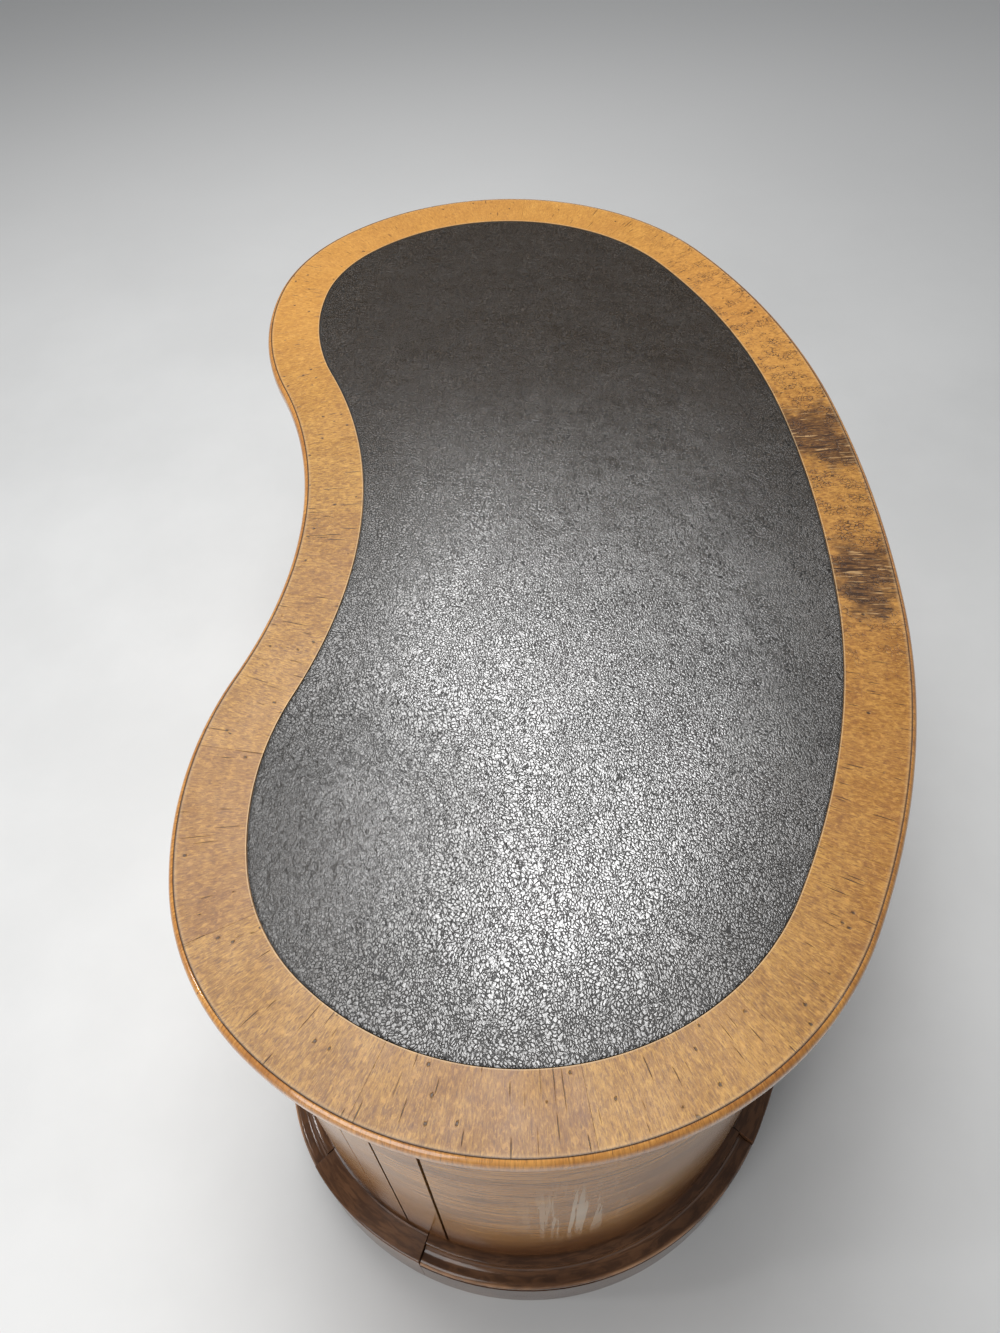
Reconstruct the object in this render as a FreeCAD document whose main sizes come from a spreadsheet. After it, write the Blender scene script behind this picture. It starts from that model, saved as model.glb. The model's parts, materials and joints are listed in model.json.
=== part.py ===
import FreeCAD, Part
import math
import os
import re
import Sketcher

# A kidney-shaped pedestal desk. X runs along its length, the hollow writing side faces -Y,
# Z is up and the floor is at zero. All lengths are millimetres and all angles degrees.
# An angle is the direction in which the outline faces, counted from +X.

doc = FreeCAD.newDocument("kidney_desk")
sheet = doc.addObject("Spreadsheet::Sheet", "dims")

SIZES = {
    # Outline of the top: tangent arcs, one half mirrored
    "desk_length": 1500,
    "desk_height": 760,
    "end_radius": 365,
    "corner_radius": 285,
    "lobe_radius": 420,
    "hollow_radius": 625,
    "shoulder_radius": 975,
    "back_radius": 1800,
    "corner_angle": -44,
    "lobe_angle": -79.5,
    "shoulder_angle": 60,
    # Top
    "top_thickness": 22,
    "lipping_width": 6,
    "lipping_nose": 5,
    "lipping_round": 9,
    "veneer_thickness": 3,
    "border_width": 75,
    "banding_joint": 0.6,
    "leather_margin": 0.8,
    "leather_thickness": 2.4,
    "glue_gap": 0.2,
    # Curved walls of the pedestals, set in from the edge of the top
    "post_inset": 32,
    "post_thickness": 30,
    "panel_inset": 32,
    "panel_thickness": 18,
    "panel_groove_width": 3.5,
    "panel_groove_depth": 8,
    "fine_stave_gap": 1.2,
    "wide_stave_gap": 2.6,
    "front_post_angle": -19.9,
    "front_wide_gap_angle": -29.5,
    "front_fine_gap_angle": -37.1,
    "back_post_angle": 51.2,
    "back_wide_gap_angle": 60.5,
    "back_fine_gap_angle": 63.2,
    "back_post_end_angle": 70.5,
    "seat_gap": 0.3,
    # Plinth
    "plinth_height": 128,
    "plinth_reach": 3,
    "plinth_depth": 78,
    "plinth_joint": 1,
    "plinth_face_height": 85,
    "plinth_groove": 3,
    "bead_radius": 9,
    "cove_radius": 14,
    "ledge_rise": 6,
    "block_slope": 13,
    "block_fillet": 3,
    "block_round": 4,
    "block_front_angle": -57,
    "block_end_angle": -24.3,
    "block_back_angle": 56.2,
    "inner_plinth_thickness": 30,
    # Pedestal carcase
    "kneehole_width": 570,
    "cheek_thickness": 20,
    "stile_width": 40,
    "drawer_opening_width": 250,
    "board_thickness": 18,
    "rail_depth": 62,
    "frieze_height": 100,
    "middle_drawer_height": 200,
    "guide_width": 15,
    "guide_height": 16,
    "guide_setback": 14,
    "runner_width": 24,
    # Drawers
    "drawer_clearance": 1.2,
    "runner_clearance": 0.3,
    "front_inset": 32,
    "front_thickness": 24,
    "cock_bead_width": 4,
    "cock_bead_height": 2,
    "side_thickness": 10,
    "side_drop": 8,
    "bottom_thickness": 6,
    "bottom_rise": 6,
    "pedestal_drawer_back": 120,
    "frieze_drawer_back": 90,
    # Turned knobs
    "rose_radius": 15,
    "rose_thickness": 2.5,
    "rose_seat_depth": 0.5,
    "neck_radius": 5.5,
    "neck_length": 8,
    "knob_radius": 12.5,
    "knob_length": 23,
    "knob_spread": 300,
    # Reach of selecting shapes past what they select
    "overrun": 1000,
}

# Directions of the butt joints in the crossbanding of one half of the top
BANDING_JOINTS = {"lobe": (-101,), "corner": (-66,), "end": (-25, 8, 38), "shoulder": (64, 73, 82)}
HOLLOW_JOINT = 102


def write_cell(row, name, value):
    sheet.set(f"A{row}", name)
    sheet.set(f"B{row}", repr(float(value)))
    sheet.setAlias(f"B{row}", name)


def size(name):
    return float(SIZES[name])


def facing(angle):
    radians = math.radians(angle)
    return FreeCAD.Vector(math.cos(radians), math.sin(radians), 0)


def outline_arcs():
    """Centres of the outline's arcs and the two directions where the hollow and the back begin."""
    end = FreeCAD.Vector(size("desk_length") / 2 - size("end_radius"), 0, 0)
    corner = end + facing(size("corner_angle")) * (size("end_radius") - size("corner_radius"))
    lobe = corner + facing(size("lobe_angle")) * (size("corner_radius") - size("lobe_radius"))
    reach = size("lobe_radius") + size("hollow_radius")
    hollow_angle = -math.degrees(math.acos(-lobe.x / reach))
    hollow = lobe + facing(hollow_angle) * reach
    shoulder = end + facing(size("shoulder_angle")) * (size("end_radius") - size("shoulder_radius"))
    flattening = size("back_radius") - size("shoulder_radius")
    back_angle = math.degrees(math.acos(shoulder.x / flattening))
    back = shoulder - facing(back_angle) * flattening
    front_most = lobe.y - size("lobe_radius") - size("plinth_reach")
    back_most = back.y + size("back_radius") + size("plinth_reach")
    middle = FreeCAD.Vector(0, (front_most + back_most) / 2, 0)
    arcs = {"end": end, "corner": corner, "lobe": lobe,
            "hollow": hollow, "shoulder": shoulder, "back": back}
    values = {"hollow_angle": hollow_angle, "back_angle": back_angle}
    for name, centre in arcs.items():
        values[f"{name}_x"] = (centre - middle).x
        values[f"{name}_y"] = (centre - middle).y
    return values


SHARED = {**SIZES, **outline_arcs()}
for row, (name, value) in enumerate(SHARED.items(), start=1):
    write_cell(row, name, value)
doc.recompute()

# Places that several pieces share
CARCASE_TOP = "(desk_height - top_thickness)"
VENEER_LOW = "(desk_height - veneer_thickness)"
WALL_INNER = "(post_inset + post_thickness)"
KNEEHOLE_SIDE = "(kneehole_width / 2)"
CHEEK_OUTER = "(kneehole_width / 2 + cheek_thickness)"
OPENING_INNER = "(kneehole_width / 2 + stile_width)"
OPENING_OUTER = "(kneehole_width / 2 + stile_width + drawer_opening_width)"
TOP_RAIL_LOW = f"({CARCASE_TOP} - board_thickness)"
FRIEZE_LOW = f"({TOP_RAIL_LOW} - frieze_height)"
FRIEZE_BOARD_LOW = f"({FRIEZE_LOW} - board_thickness)"
MIDDLE_LOW = f"({FRIEZE_BOARD_LOW} - middle_drawer_height)"
MIDDLE_BOARD_LOW = f"({MIDDLE_LOW} - board_thickness)"
BOTTOM_LOW = "(plinth_height + board_thickness)"


def bind(thing, place, expression):
    """Bind a property to an expression in the names of the sheet."""
    names = re.sub(r"[a-z_]+", lambda m: f"dims.{m[0]}" if m[0] in SHARED else m[0], str(expression))
    thing.setExpression(place, names)


gauge = doc.addObject("App::FeaturePython", "gauge")
gauge.addProperty("App::PropertyFloat", "reading")


def number(expression):
    """The value that an expression has now."""
    bind(gauge, "reading", expression)
    gauge.recompute()
    return gauge.reading


def fix_point(sketch, curve, end, x, y):
    """Hold one end of a sketch curve at a bound place."""
    for kind, place in (("DistanceX", x), ("DistanceY", y)):
        index = sketch.addConstraint(Sketcher.Constraint(kind, curve, end, number(place)))
        bind(sketch, f"Constraints[{index}]", place)


def fix_radius(sketch, curve, radius):
    index = sketch.addConstraint(Sketcher.Constraint("Radius", curve, number(radius)))
    bind(sketch, f"Constraints[{index}]", radius)


def loop(sketch, corners, arcs):
    """A closed loop of bound corners. arcs gives, for a corner's number, the radius, the centre and
    whether the arc that leaves that corner runs counterclockwise; the other edges are straight."""
    places = [FreeCAD.Vector(number(x), number(y), 0) for x, y in corners]
    ends = []
    for i, start in enumerate(places):
        stop = places[(i + 1) % len(places)]
        if i not in arcs:
            curve = sketch.addGeometry(Part.LineSegment(start, stop))
            ends.append((curve, 1, 2))
            continue
        radius, centre, counterclockwise = arcs[i]
        middle = FreeCAD.Vector(number(centre[0]), number(centre[1]), 0)
        first, last = (start, stop) if counterclockwise else (stop, start)
        angles = [math.atan2(p.y - middle.y, p.x - middle.x) for p in (first, last)]
        circle = Part.Circle(middle, FreeCAD.Vector(0, 0, 1), number(radius))
        curve = sketch.addGeometry(Part.ArcOfCircle(circle, *angles))
        ends.append((curve, 1, 2) if counterclockwise else (curve, 2, 1))
    for i, (curve, start, stop) in enumerate(ends):
        after, after_start, _ = ends[(i + 1) % len(ends)]
        sketch.addConstraint(Sketcher.Constraint("Coincident", curve, stop, after, after_start))
        fix_point(sketch, curve, start, *corners[i])
        if i in arcs:
            fix_radius(sketch, curve, arcs[i][0])


def kidney(sketch, inset):
    """The kidney outline, set in from the edge of the top."""
    round_arcs = ("end", "corner", "lobe", "shoulder", "back")
    radius = {name: f"({name}_radius - ({inset}))" for name in round_arcs}
    radius["hollow"] = f"(hollow_radius + ({inset}))"

    def on(arc, angle):
        return f"({arc}_x + {radius[arc]} * cos({angle}))", f"({arc}_y + {radius[arc]} * sin({angle}))"

    half = [on("lobe", "hollow_angle"), on("corner", "lobe_angle"), on("end", "corner_angle"),
            on("end", "shoulder_angle"), on("shoulder", "back_angle")]
    other_half = [(f"(-{x})", y) for x, y in reversed(half)]
    corners = [("0", f"(hollow_y + {radius['hollow']})")] + half + other_half
    half_run = ["hollow", "lobe", "corner", "end", "shoulder"]
    runs = half_run + ["back"] + half_run[::-1]
    arcs = {}
    for i, arc in enumerate(runs):
        side = "" if i < len(runs) / 2 else "-"
        arcs[i] = (radius[arc], (f"({side}{arc}_x)", f"{arc}_y"), arc != "hollow")
    loop(sketch, corners, arcs)


def slice_of(name, insets, low, high):
    """A level slice of the desk between two heights: the whole outline or a ring between two."""
    sketch = doc.addObject("Sketcher::SketchObject", f"{name}_outline")
    for inset in insets:
        kidney(sketch, inset)
    solid = doc.addObject("Part::Extrusion", name)
    solid.Base = sketch
    solid.DirMode = "Normal"
    solid.Solid = True
    solid.FaceMakerClass = "Part::FaceMakerBullseye"
    bind(solid, "LengthFwd", high)
    bind(solid, "LengthRev", f"-({low})")
    return solid


def block(name, x, y, z):
    """A box between pairs of bound places."""
    box = doc.addObject("Part::Box", name)
    for prop, axis, (first, last) in (("Length", "x", x), ("Width", "y", y), ("Height", "z", z)):
        bind(box, prop, f"({last}) - ({first})")
        bind(box, f"Placement.Base.{axis}", first)
    return box


FRONT = ("-overrun", "0")
BACK = ("0", "overrun")
EVERYWHERE = ("-overrun", "overrun")
FULL_HEIGHT = ("-overrun", "overrun")


def turned_block(name, centre, angle, along, across):
    """A tall box that reaches along a direction from an arc's centre, and across it."""
    box = doc.addObject("Part::Box", name)
    bind(box, "Length", f"({along[1]}) - ({along[0]})")
    bind(box, "Width", f"({across[1]}) - ({across[0]})")
    bind(box, "Height", "2 * overrun")
    box.Placement = FreeCAD.Placement(FreeCAD.Vector(), FreeCAD.Rotation(FreeCAD.Vector(0, 0, 1), 1))
    bind(box, "Placement.Rotation.Angle", angle)
    x, y = centre
    bind(box, "Placement.Base.x", f"{x} + ({along[0]}) * cos({angle}) - ({across[0]}) * sin({angle})")
    bind(box, "Placement.Base.y", f"{y} + ({along[0]}) * sin({angle}) + ({across[0]}) * cos({angle})")
    bind(box, "Placement.Base.z", "-overrun")
    return box


def centre_of(arc, side=""):
    return f"({side}{arc}_x)", f"({arc}_y)"


def past(name, arc, angle, gap="0"):
    """Everything counterclockwise of a direction on an arc, less a gap."""
    return turned_block(f"{name}_past", centre_of(arc), angle, ("0", "overrun"), (gap, "overrun"))


def before(name, arc, angle, gap="0"):
    """Everything clockwise of a direction on an arc, less a gap."""
    across = ("-overrun", f"-({gap})")
    return turned_block(f"{name}_before", centre_of(arc), angle, ("0", "overrun"), across)


def blade(name, arc, angle, width, reach):
    """A thin radial cut across an arc's edge, as deep as the reach to both sides."""
    along = (f"{arc}_radius - ({reach})", f"{arc}_radius + ({reach})")
    return turned_block(name, centre_of(arc), angle, along, (f"-({width}) / 2", f"({width}) / 2"))


def common(name, *things):
    shared = doc.addObject("Part::MultiCommon", name)
    shared.Shapes = list(things)
    return shared


def fuse(name, *things):
    joined = doc.addObject("Part::MultiFuse", name)
    joined.Shapes = list(things)
    joined.Refine = True
    return joined


def cut(name, base, *tools):
    tool = tools[0] if len(tools) == 1 else group(f"{name}_tools", *tools)
    left = doc.addObject("Part::Cut", name)
    left.Base = base
    left.Tool = tool
    return left


def group(name, *things):
    together = doc.addObject("Part::Compound", name)
    together.Links = list(things)
    return together


def mirrored(name, thing):
    other = doc.addObject("Part::Mirroring", name)
    other.Source = thing
    other.Normal = (1, 0, 0)
    return other


NODES = []


def node(thing, label):
    thing.Label = label
    NODES.append(thing)
    return thing


def both_sides(thing, name):
    """A piece of the right pedestal and its mirror image in the left one."""
    node(thing, f"right_{name}")
    node(mirrored(f"left_{name}_mirror", thing), f"left_{name}")


def swept(name, corners, arcs):
    """A section swept round the edge of the top. Its corners are given outwards and upwards."""
    path = doc.addObject("Sketcher::SketchObject", f"{name}_path")
    kidney(path, "0")
    section = doc.addObject("Sketcher::SketchObject", f"{name}_section")
    outward, up, across = FreeCAD.Vector(0, -1, 0), FreeCAD.Vector(0, 0, 1), FreeCAD.Vector(-1, 0, 0)
    section.Placement = FreeCAD.Placement(FreeCAD.Vector(), FreeCAD.Rotation(outward, up, across, "XYZ"))
    bind(section, "Placement.Base.y", "hollow_y + hollow_radius")
    loop(section, corners, arcs)
    doc.recompute()
    sweep = doc.addObject("Part::Sweep", name)
    sweep.Sections = [section]
    sweep.Spine = (path, [f"Edge{i + 1}" for i in range(len(path.Shape.Edges))])
    sweep.Solid = True
    return sweep


def make_top():
    core_inset = "lipping_width + glue_gap"
    node(slice_of("core", (core_inset,), CARCASE_TOP, VENEER_LOW), "top_board")
    banding = slice_of("banding", (core_inset, "border_width"), VENEER_LOW, "desk_height")
    blades = []
    for arc, angles in BANDING_JOINTS.items():
        for angle in angles:
            cutter = blade(f"{arc}_joint", arc, angle, "banding_joint", "2 * border_width")
            blades += [cutter, mirrored(f"{arc}_joint_mirror", cutter)]
    cutter = blade("hollow_joint", "hollow", HOLLOW_JOINT, "banding_joint", "2 * border_width")
    blades += [cutter, mirrored("hollow_joint_mirror", cutter)]
    node(cut("banding_segments", banding, *blades), "crossbanding")
    nose_rise = "sqrt(2 * lipping_round * lipping_nose - lipping_nose ^ 2)"
    upper, lower = f"(desk_height - {nose_rise})", f"({CARCASE_TOP} + {nose_rise})"
    corners = [("-lipping_width", CARCASE_TOP), ("-lipping_nose", CARCASE_TOP), ("0", lower),
               ("0", upper), ("-lipping_nose", "desk_height"), ("-lipping_width", "desk_height")]
    arcs = {1: ("lipping_round", ("-lipping_round", lower), True),
            3: ("lipping_round", ("-lipping_round", upper), True)}
    node(swept("lipping", corners, arcs), "edge_lipping")
    leather_top = f"{VENEER_LOW} + leather_thickness"
    node(slice_of("leather", ("border_width + leather_margin",), VENEER_LOW, leather_top), "leather_inset")


def make_walls():
    walls = slice_of("post_ring", ("post_inset", WALL_INNER), "plinth_height", CARCASE_TOP)
    panels = slice_of("panel_ring", ("panel_inset", "panel_inset + panel_thickness"),
                      "plinth_height", CARCASE_TOP)
    beside_drawers = block("beside_drawers", (OPENING_OUTER, "overrun"), FRONT, FULL_HEIGHT)
    behind = block("behind", EVERYWHERE, BACK, FULL_HEIGHT)
    reach = "3 * post_thickness"

    front_post = common("front_post_whole", walls, beside_drawers,
                        before("front_post", "end", "front_post_angle"))
    fine_gap = blade("front_fine", "end", "front_fine_gap_angle", "fine_stave_gap", reach)
    wide_gap = blade("front_wide", "end", "front_wide_gap_angle", "wide_stave_gap", reach)
    both_sides(cut("front_post_staves", front_post, fine_gap, wide_gap), "front_post")
    end_panel = common("end_panel_whole", panels, past("end_panel", "end", "front_post_angle", "seat_gap"),
                       before("end_panel", "end", "back_post_angle", "seat_gap"))
    groove = ("end_radius - panel_inset - panel_groove_depth", "end_radius")
    both_sides(cut("end_panel_piece", end_panel,
                   turned_block("front_groove", centre_of("end"), "front_post_angle", groove,
                                ("-panel_groove_width", "panel_groove_width")),
                   turned_block("back_groove", centre_of("end"), "back_post_angle", groove,
                                ("-panel_groove_width", "panel_groove_width"))), "end_panel")
    back_post = common("back_post_whole", walls, behind, past("back_post", "end", "back_post_angle"),
                       before("back_post", "shoulder", "back_post_end_angle"))
    wide_gap = blade("back_wide", "shoulder", "back_wide_gap_angle", "wide_stave_gap", reach)
    fine_gap = blade("back_fine", "shoulder", "back_fine_gap_angle", "fine_stave_gap", reach)
    both_sides(cut("back_post_staves", back_post, wide_gap, fine_gap), "back_post")
    right_limit = past("back_panel", "shoulder", "back_post_end_angle", "seat_gap")
    left_limit = mirrored("back_panel_left_limit", right_limit)
    back_panel = common("back_panel_whole", panels, behind, right_limit, left_limit)
    groove = ("shoulder_radius - panel_inset - panel_groove_depth", "shoulder_radius")
    right_groove = turned_block("back_panel_groove", centre_of("shoulder"), "back_post_end_angle", groove,
                                ("-panel_groove_width", "panel_groove_width"))
    left_groove = mirrored("back_panel_left_groove", right_groove)
    node(cut("back_panel_piece", back_panel, right_groove, left_groove), "back_panel")

    stile_ring = slice_of("stile_ring", ("post_inset", WALL_INNER), "plinth_height", TOP_RAIL_LOW)
    stile_place = block("stile_place", (KNEEHOLE_SIDE, OPENING_INNER), FRONT, FULL_HEIGHT)
    both_sides(common("stile_piece", stile_ring, stile_place), "front_stile")
    room = slice_of("cheek_room", (f"{WALL_INNER} + seat_gap",), "plinth_height", CARCASE_TOP)
    cheek_place = block("cheek_place", (KNEEHOLE_SIDE, CHEEK_OUTER), EVERYWHERE, FULL_HEIGHT)
    both_sides(common("cheek_piece", room, cheek_place), "kneehole_cheek")
    rail_ring = slice_of("rail_ring", ("post_inset", WALL_INNER), TOP_RAIL_LOW, CARCASE_TOP)
    rail_place = block("top_rail_place", (f"-{OPENING_OUTER}", OPENING_OUTER), FRONT, FULL_HEIGHT)
    node(common("top_rail_piece", rail_ring, rail_place), "front_top_rail")


def shelf(name, low):
    """A board that fills a pedestal from wall to wall and comes forward between the drawers."""
    high = f"{low} + board_thickness"
    room = slice_of(f"{name}_room", (f"{WALL_INNER} + seat_gap",), low, high)
    edge = slice_of(f"{name}_edge", ("post_inset", f"{WALL_INNER} + rail_depth"), low, high)
    place = block(f"{name}_place", (CHEEK_OUTER, "overrun"), EVERYWHERE, FULL_HEIGHT)
    mouth = block(f"{name}_mouth", (OPENING_INNER, OPENING_OUTER), FRONT, FULL_HEIGHT)
    return fuse(name, common(f"{name}_inside", room, place), common(f"{name}_nosing", edge, mouth))


def make_boards():
    both_sides(shelf("bottom_shelf", "plinth_height"), "bottom_board")
    both_sides(group("dust_board_pair", shelf("middle_shelf", MIDDLE_BOARD_LOW),
                     shelf("frieze_shelf", FRIEZE_BOARD_LOW)), "dust_boards")
    strips = []
    for level, low in (("bottom", BOTTOM_LOW), ("middle", MIDDLE_LOW), ("frieze", FRIEZE_LOW)):
        inset = f"{WALL_INNER} + guide_setback"
        room = slice_of(f"{level}_guide_room", (inset,), low, f"{low} + guide_height")
        for side, x in (("inner", (CHEEK_OUTER, OPENING_INNER)),
                        ("outer", (OPENING_OUTER, f"{OPENING_OUTER} + guide_width"))):
            name = f"{level}_{side}_guide"
            place = block(f"{name}_place", x, ("-overrun", "pedestal_drawer_back"), FULL_HEIGHT)
            strips.append(common(name, room, place))
    both_sides(group("guide_strips", *strips), "drawer_guides")
    frieze = (FRIEZE_BOARD_LOW, FRIEZE_LOW)
    rail = slice_of("frieze_rail_ring", ("post_inset", "post_inset + rail_depth"), *frieze)
    rail_place = block("frieze_rail_place", (f"-{KNEEHOLE_SIDE}", KNEEHOLE_SIDE), FRONT, FULL_HEIGHT)
    node(common("frieze_rail_piece", rail, rail_place), "frieze_rail")
    room = slice_of("runner_room", ("post_inset + rail_depth + seat_gap",), *frieze)
    runner_x = (f"{KNEEHOLE_SIDE} - runner_width", KNEEHOLE_SIDE)
    runner = common("right_runner", room, block("runner_place", runner_x, EVERYWHERE, FULL_HEIGHT))
    node(group("runner_pair", runner, mirrored("left_runner", runner)), "middle_runners")


def make_plinth():
    inner = "(plinth_reach - plinth_depth)"
    bead_middle = "(plinth_reach - bead_radius)"
    bead_low = "(plinth_face_height + plinth_groove)"
    bead_high = f"({bead_low} + 2 * bead_radius)"
    cove_inner = f"({bead_middle} - cove_radius)"
    groove_floor = "plinth_reach - plinth_groove"
    moulded = [(inner, "0"), ("plinth_reach", "0"), ("plinth_reach", "plinth_face_height"),
               (groove_floor, "plinth_face_height"), (groove_floor, bead_low), (bead_middle, bead_low),
               ("plinth_reach", f"{bead_low} + bead_radius"), (bead_middle, bead_high),
               (cove_inner, f"{bead_high} + cove_radius"), (cove_inner, "plinth_height - ledge_rise"),
               ("-post_inset", "plinth_height"), (inner, "plinth_height")]
    bead_centre = (bead_middle, f"{bead_low} + bead_radius")
    arcs = {5: ("bead_radius", bead_centre, True), 6: ("bead_radius", bead_centre, True),
            7: ("cove_radius", (bead_middle, f"{bead_high} + cove_radius"), False)}
    moulding = swept("plinth_moulding", moulded, arcs)
    fillet_side = "(block_fillet - post_inset)"
    slope_turn = f"atan((plinth_reach - {fillet_side}) / block_slope)"
    slope_low = "(plinth_height - block_fillet - block_slope)"
    round_low = f"({slope_low} - block_round * tan({slope_turn} / 2))"
    round_middle = "(plinth_reach - block_round)"
    round_end = (f"{round_middle} + block_round * cos({slope_turn})",
                 f"{round_low} + block_round * sin({slope_turn})")
    plain = [(inner, "0"), ("plinth_reach", "0"), ("plinth_reach", round_low), round_end,
             (fillet_side, "plinth_height - block_fillet"), (fillet_side, "plinth_height"),
             (inner, "plinth_height")]
    plain_run = swept("plinth_plain", plain, {2: ("block_round", (round_middle, round_low), True)})
    behind = block("plinth_behind", EVERYWHERE, BACK, FULL_HEIGHT)
    beside_knees = block("beside_knees", (KNEEHOLE_SIDE, "overrun"), FRONT, FULL_HEIGHT)
    gap = "plinth_joint / 2"

    front = common("plinth_front", moulding, beside_knees,
                   before("plinth_front", "corner", "block_front_angle", gap))
    end = common("plinth_end", moulding, past("plinth_end", "end", "block_end_angle", gap),
                 before("plinth_end", "end", "block_back_angle", gap))
    both_sides(group("plinth_lengths", front, end), "plinth_mouldings")
    front_block = common("front_block", plain_run, past("front_block", "corner", "block_front_angle", gap),
                         before("front_block", "end", "block_end_angle", gap))
    back_block = common("back_block", plain_run, behind, past("back_block", "end", "block_back_angle", gap),
                        before("back_block", "shoulder", "back_post_end_angle", gap))
    both_sides(group("plain_blocks", front_block, back_block), "plinth_blocks")
    right_limit = past("plinth_back", "shoulder", "back_post_end_angle", gap)
    node(common("plinth_back_length", moulding, behind, right_limit,
                mirrored("plinth_back_left_limit", right_limit)), "back_plinth")
    room = slice_of("inner_plinth_room", ("plinth_depth - plinth_reach + seat_gap",), "0", "plinth_height")
    rail = block("inner_plinth_place", (KNEEHOLE_SIDE, f"{KNEEHOLE_SIDE} + inner_plinth_thickness"),
                 EVERYWHERE, FULL_HEIGHT)
    both_sides(common("inner_plinth_piece", room, rail), "inner_plinth")


def knob(name, place, direction):
    """A turned knob with its rose, standing on a face along a direction."""
    body = doc.addObject("PartDesign::Body", name)
    sketch = body.newObject("Sketcher::SketchObject", f"{name}_profile")
    plane = next(f for f in body.Origin.OriginFeatures if f.Role == "XZ_Plane")
    sketch.AttachmentSupport = [(plane, "")]
    sketch.MapMode = "FlatFace"
    crown = "(knob_length - knob_radius / 2)"
    shoulder = "(rose_thickness + neck_length)"
    corners = [("0", "0"), ("rose_radius", "0"), ("rose_radius", "rose_thickness / 2"),
               ("neck_radius", "rose_thickness"), ("neck_radius", shoulder), ("knob_radius", crown),
               ("knob_radius / 2", "knob_length"), ("0", "knob_length")]
    arcs = {5: ("knob_radius / 2", ("knob_radius / 2", crown), True)}
    loop(sketch, corners, arcs)
    turned = body.newObject("PartDesign::Revolution", f"{name}_turned")
    turned.Profile = sketch
    turned.ReferenceAxis = (sketch, ["V_Axis"])
    turned.Angle = 360
    stand = place + direction * size("seat_gap")
    body.Placement = FreeCAD.Placement(stand, FreeCAD.Rotation(FreeCAD.Vector(0, 0, 1), direction))
    return body


def flat_seat(name, place, direction):
    """The shallow round recess that gives a knob's rose a flat seat in a curved drawer front."""
    recess = doc.addObject("Part::Cylinder", name)
    bind(recess, "Radius", "rose_radius + seat_gap")
    bind(recess, "Height", "rose_thickness")
    recess.Placement = FreeCAD.Placement(place, FreeCAD.Rotation(FreeCAD.Vector(0, 0, 1), direction))
    return recess


def knob_seat(arc, x, outward):
    """Place and direction of a knob's seat in the drawer front's field where it follows an arc."""
    inset = size("front_inset") + size("cock_bead_height") + size("rose_seat_depth")
    radius = size(f"{arc}_radius") - outward * inset
    centre = FreeCAD.Vector(SHARED[f"{arc}_x"], SHARED[f"{arc}_y"], 0)
    rise = math.sqrt(radius ** 2 - (x - centre.x) ** 2)
    ray = FreeCAD.Vector(x - centre.x, -outward * rise, 0)
    return centre + ray, ray.normalize() * outward


def drawer(name, x, z, back):
    """The wooden pieces of a drawer that fills an opening: front, sides and back, bottom."""
    (left, right), (low, high) = x, z
    clear = "drawer_clearance"
    inside = "front_inset + front_thickness"
    width = (f"{left} + {clear}", f"{right} - {clear}")
    height = (f"{low} + {clear}", f"{high} - {clear}")
    edge = f"{clear} + cock_bead_width"
    field_ring = slice_of(f"{name}_field_ring", ("0", "front_inset + cock_bead_height"), *z)
    field = common(f"{name}_field", field_ring,
                   block(f"{name}_field_place", (f"{left} + {edge}", f"{right} - ({edge})"), FRONT,
                         (f"{low} + {edge}", f"{high} - ({edge})")))
    blank = common(f"{name}_blank", slice_of(f"{name}_front_ring", ("front_inset", inside), *height),
                   block(f"{name}_front_place", width, FRONT, FULL_HEIGHT))
    front = cut(f"{name}_front_piece", blank, field)

    side_z = (f"{low} + runner_clearance", f"{high} - side_drop")
    room = slice_of(f"{name}_room", (f"{inside} + glue_gap",), *side_z)
    inner = (f"{width[0]} + side_thickness", f"{width[1]} - side_thickness")
    sides = []
    for side, places in (("left", (width[0], inner[0])), ("right", (inner[1], width[1]))):
        place = block(f"{name}_{side}_place", places, ("-overrun", back), FULL_HEIGHT)
        sides.append(common(f"{name}_{side}_side", room, place))
    floor = (f"{low} + bottom_rise", f"{low} + bottom_rise + bottom_thickness")
    rear = block(f"{name}_rear", inner, (f"{back} - side_thickness", back), (floor[1], side_z[1]))
    frame = group(f"{name}_frame", *sides, rear)
    floor_room = slice_of(f"{name}_floor_room", (f"{inside} + glue_gap",), *floor)
    floor_place = block(f"{name}_floor_place", inner, ("-overrun", back), FULL_HEIGHT)
    bottom = common(f"{name}_bottom_piece", floor_room, floor_place)
    return {"front": front, "sides": frame, "bottom": bottom}


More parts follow.
